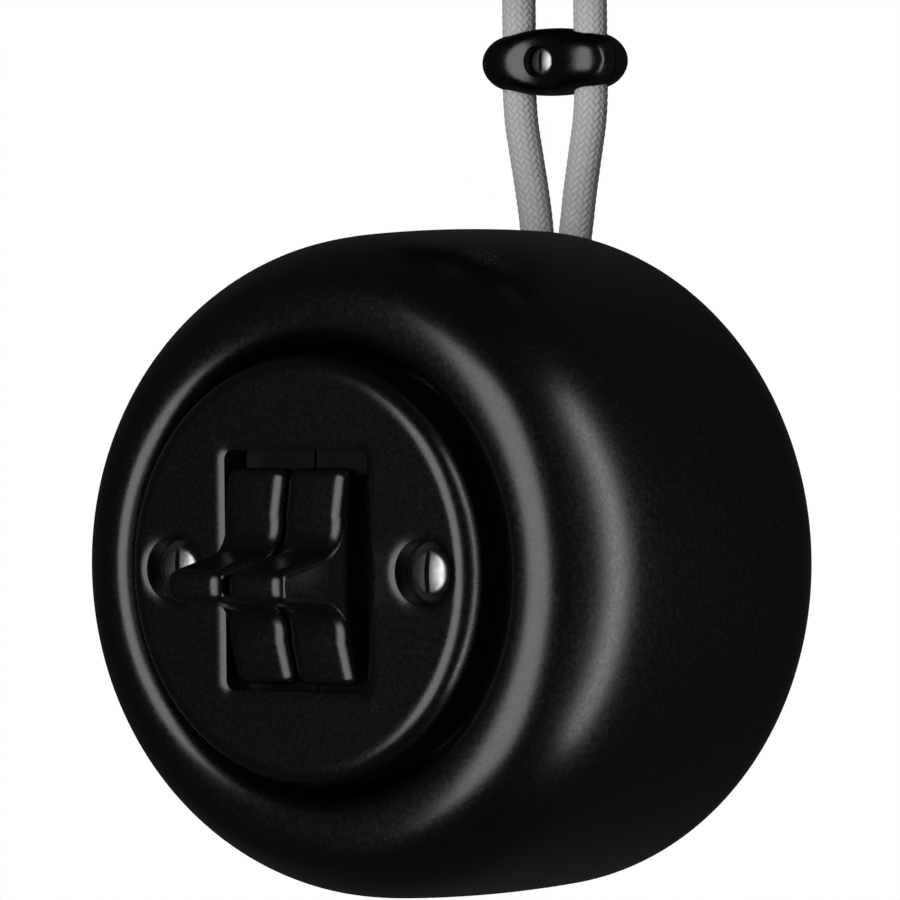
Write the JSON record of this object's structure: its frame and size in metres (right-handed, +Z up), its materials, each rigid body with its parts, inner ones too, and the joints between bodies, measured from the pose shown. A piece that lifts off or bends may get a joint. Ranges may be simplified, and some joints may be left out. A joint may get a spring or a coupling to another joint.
{
  "type": "suspended toggle switch",
  "caption": "Round porcelain drum with paired toggle levers in a recessed rosette, hung on textile cords through an oval cord clamp from a small ceiling cup.",
  "frame": {"origin": "middle of the ceiling bracket's top face, in the plane of the two cords, where the part meets the ceiling", "axes": "+Z up towards the ceiling, the switch's face looks towards -Y, and the paired levers lie side by side along X"},
  "size_m": [0.1096, 0.1242, 0.1838],
  "materials": {
    "black_porcelain": "satin black glaze with a fine grain",
    "nickel_plate": "satin nickel plate on brass, lightly brushed",
    "steel": "zinc-plated pressed steel",
    "spring_steel": "drawn spring wire",
    "brass": "machined brass",
    "dark_moulding": "matt thermoset moulding",
    "core_insulation": "smooth brown wire insulation",
    "grey_textile": "light grey braided textile over a round flex"
  },
  "bodies": {
    "suspended_switch": {"housing": "black_porcelain", "rear_cover": "black_porcelain", "rosette": "black_porcelain", "rosette_screw_left": "nickel_plate", "rear_cover_screw_left": "nickel_plate", "rosette_screw_right": "nickel_plate", "rear_cover_screw_right": "nickel_plate", "rocker_axle": "steel", "support_ring": "steel", "frame_screw_top": "steel", "frame_screw_bottom": "steel", "base_rivet_1": "brass", "base_rivet_2": "brass", "mechanism_base": "dark_moulding", "terminal_left_upper": "brass", "terminal_screw_left_upper": "steel", "terminal_left_common": "brass", "terminal_screw_left_common": "steel", "terminal_left_lower": "brass", "terminal_screw_left_lower": "steel", "core_left_upper": "core_insulation", "core_left_common": "core_insulation", "saddle_screw_left": "steel", "cord_left": "grey_textile", "cup_screw_left": "nickel_plate", "cord_bush_left": "dark_moulding", "cord_collar_left": "brass", "terminal_right_upper": "brass", "terminal_screw_right_upper": "steel", "terminal_right_common": "brass", "terminal_screw_right_common": "steel", "terminal_right_lower": "brass", "terminal_screw_right_lower": "steel", "core_right_upper": "core_insulation", "core_right_common": "core_insulation", "saddle_screw_right": "steel", "cord_right": "grey_textile", "cup_screw_right": "nickel_plate", "cord_bush_right": "dark_moulding", "cord_collar_right": "brass", "cord_saddle": "dark_moulding", "ceiling_cup": "black_porcelain", "ceiling_bracket": "steel", "connector_block": "dark_moulding", "block_screw": "steel"},
    "rocker_left": {"rocker_left": "black_porcelain", "plunger_left": "brass", "plunger_spring_left": "spring_steel"},
    "rocker_right": {"rocker_right": "black_porcelain", "plunger_right": "brass", "plunger_spring_right": "spring_steel"},
    "bridge_left": {"contact_bridge_left": "brass"},
    "bridge_right": {"contact_bridge_right": "brass"},
    "cord_clamp": {"clamp_front": "black_porcelain", "clamp_rear": "black_porcelain", "clamp_screw": "nickel_plate", "clamp_nut": "steel"}
  },
  "joints": [
    {"name": "rocker_left_tilt", "type": "hinge", "parent": "suspended_switch", "child": "rocker_left", "pos_m": [-0.0061, -0.0648, -0.1294], "axis": [-1, 0, 0], "range_deg": [0, 6.4]},
    {"name": "rocker_right_tilt", "type": "hinge", "parent": "suspended_switch", "child": "rocker_right", "pos_m": [0.0061, -0.0648, -0.1294], "axis": [-1, 0, 0], "range_deg": [0, 6.4]},
    {"name": "bridge_left_tilt", "type": "hinge", "parent": "suspended_switch", "child": "bridge_left", "pos_m": [-0.0061, -0.0463, -0.1294], "axis": [-1, 0, 0], "range_deg": [-9.6, 0]},
    {"name": "bridge_right_tilt", "type": "hinge", "parent": "suspended_switch", "child": "bridge_right", "pos_m": [0.0061, -0.0463, -0.1294], "axis": [-1, 0, 0], "range_deg": [-9.6, 0]},
    {"name": "clamp_slide", "type": "slide", "parent": "suspended_switch", "child": "cord_clamp", "axis": [0, 0, 1], "range_m": [0, 0.01]}
  ],
  "couplings": [
    {"joint": "bridge_left_tilt", "follows": "rocker_left_tilt", "ratio": -1.5},
    {"joint": "bridge_right_tilt", "follows": "rocker_right_tilt", "ratio": -1.5}
  ]
}
